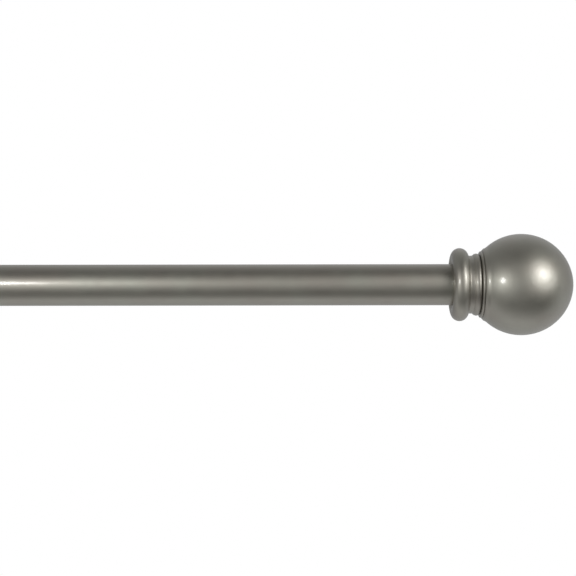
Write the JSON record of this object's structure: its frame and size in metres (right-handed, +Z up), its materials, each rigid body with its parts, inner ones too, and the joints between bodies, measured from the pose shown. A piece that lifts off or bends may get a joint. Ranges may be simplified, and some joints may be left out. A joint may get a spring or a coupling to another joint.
{
  "type": "curtain rod with brackets",
  "caption": "Telescoping metal curtain rod with ball finials on ringed collars, held in open cradles on adjustable arms that screw to a wall",
  "frame": {"origin": "Middle of the right wall plate's back face, where it meets the wall.", "axes": "+X runs along the rod towards the finial on the large tube, +Y points into the wall, +Z is up; the rod hangs in front of the wall at negative Y."},
  "size_m": [1.0088, 0.1437, 0.076],
  "materials": {
    "plated_tube": "steel tube plated in satin pewter grey, a soft sheen with very fine lines along the tube",
    "plated_casting": "light alloy turning plated in satin pewter grey, smooth, with darker plating in the grooves",
    "plated_bracket": "steel plated in satin pewter grey to match the rod, slightly worn on the edges",
    "plated_thumbscrew": "knurled steel plated in satin pewter grey",
    "plated_screw": "plated wood screw with a cross recess",
    "bare_screw": "bright zinc plating",
    "cast_insert": "black moulded nylon",
    "clear_nylon": "natural nylon"
  },
  "bodies": {
    "root": {"right_wall_plate": "plated_bracket", "right_wall_screws": "plated_screw", "right_arm_socket": "plated_bracket", "right_socket_screw": "bare_screw", "left_wall_plate": "plated_bracket", "left_wall_screws": "plated_screw", "left_arm_socket": "plated_bracket", "left_socket_screw": "bare_screw"},
    "rod": {"outer_tube": "plated_tube", "tube_mouth_bush": "clear_nylon", "right_end_plug": "cast_insert"},
    "inner_rod": {"inner_tube": "plated_tube", "inner_tube_glide": "clear_nylon", "left_end_plug": "cast_insert"},
    "right_arm": {"right_arm": "plated_bracket", "right_cradle": "plated_bracket", "right_cradle_screw": "bare_screw"},
    "right_collar": {"right_finial_collar": "plated_casting"},
    "right_finial": {"right_finial_ball": "plated_casting", "right_finial_stud": "bare_screw"},
    "right_lock_pad": {"right_lock_pad": "clear_nylon"},
    "right_lock_screw": {"right_lock_screw": "plated_thumbscrew"},
    "right_rod_pad": {"right_rod_pad": "clear_nylon"},
    "right_rod_screw": {"right_rod_screw": "plated_thumbscrew"},
    "left_arm": {"left_arm": "plated_bracket", "left_cradle": "plated_bracket", "left_cradle_screw": "bare_screw"},
    "left_collar": {"left_finial_collar": "plated_casting"},
    "left_finial": {"left_finial_ball": "plated_casting", "left_finial_stud": "bare_screw"},
    "left_lock_pad": {"left_lock_pad": "clear_nylon"},
    "left_lock_screw": {"left_lock_screw": "plated_thumbscrew"},
    "left_rod_pad": {"left_rod_pad": "clear_nylon"},
    "left_rod_screw": {"left_rod_screw": "plated_thumbscrew"}
  },
  "joints": [
    {"name": "projection", "type": "slide", "parent": "root", "child": "right_arm", "axis": [0, -1, 0], "range_m": [-0.016, 0.01]},
    {"name": "left_projection", "type": "slide", "parent": "root", "child": "left_arm", "axis": [0, -1, 0], "range_m": [-0.016, 0.01]},
    {"name": "rod_lift", "type": "slide", "parent": "right_arm", "child": "rod", "axis": [0, 0, 1], "range_m": [0, 0.045]},
    {"name": "rod_extend", "type": "slide", "parent": "rod", "child": "inner_rod", "axis": [-1, 0, 0], "range_m": [-0.203, 0.305]},
    {"name": "right_finial_travel", "type": "slide", "parent": "rod", "child": "right_collar", "axis": [1, 0, 0], "range_m": [0, 0.012]},
    {"name": "right_finial_turn", "type": "hinge", "parent": "right_collar", "child": "right_finial", "pos_m": [0.23, -0.089, 0], "axis": [1, 0, 0], "range_deg": [0, 4320]},
    {"name": "left_finial_travel", "type": "slide", "parent": "inner_rod", "child": "left_collar", "axis": [-1, 0, 0], "range_m": [0, 0.012]},
    {"name": "left_finial_turn", "type": "hinge", "parent": "left_collar", "child": "left_finial", "pos_m": [-0.684, -0.089, 0], "axis": [-1, 0, 0], "range_deg": [0, 4320]},
    {"name": "right_lock_travel", "type": "slide", "parent": "root", "child": "right_lock_pad", "axis": [0, 0, -1], "range_m": [0, 0.004]},
    {"name": "right_lock_turn", "type": "hinge", "parent": "right_lock_pad", "child": "right_lock_screw", "pos_m": [0, -0.038, 0], "axis": [0, 0, -1], "range_deg": [0, 1800]},
    {"name": "right_thumbscrew_travel", "type": "slide", "parent": "right_arm", "child": "right_rod_pad", "axis": [0, -1, 0], "range_m": [0, 0.0028]},
    {"name": "right_thumbscrew_turn", "type": "hinge", "parent": "right_rod_pad", "child": "right_rod_screw", "pos_m": [0, -0.089, 0], "axis": [0, -1, 0], "range_deg": [0, 1440]},
    {"name": "left_lock_travel", "type": "slide", "parent": "root", "child": "left_lock_pad", "axis": [0, 0, -1], "range_m": [0, 0.004]},
    {"name": "left_lock_turn", "type": "hinge", "parent": "left_lock_pad", "child": "left_lock_screw", "pos_m": [-0.45, -0.038, 0], "axis": [0, 0, -1], "range_deg": [0, 1800]},
    {"name": "left_thumbscrew_travel", "type": "slide", "parent": "left_arm", "child": "left_rod_pad", "axis": [0, -1, 0], "range_m": [0, 0.0028]},
    {"name": "left_thumbscrew_turn", "type": "hinge", "parent": "left_rod_pad", "child": "left_rod_screw", "pos_m": [-0.45, -0.089, 0], "axis": [0, -1, 0], "range_deg": [0, 1440]}
  ],
  "couplings": [
    {"joint": "left_projection", "follows": "projection", "ratio": 1},
    {"joint": "right_finial_turn", "follows": "right_finial_travel", "rad_per_m": 6283.2},
    {"joint": "left_finial_turn", "follows": "left_finial_travel", "rad_per_m": 6283.2},
    {"joint": "right_lock_turn", "follows": "right_lock_travel", "rad_per_m": 7854},
    {"joint": "right_thumbscrew_turn", "follows": "right_thumbscrew_travel", "rad_per_m": 8976},
    {"joint": "left_lock_turn", "follows": "left_lock_travel", "rad_per_m": 7854},
    {"joint": "left_thumbscrew_turn", "follows": "left_thumbscrew_travel", "rad_per_m": 8976}
  ]
}
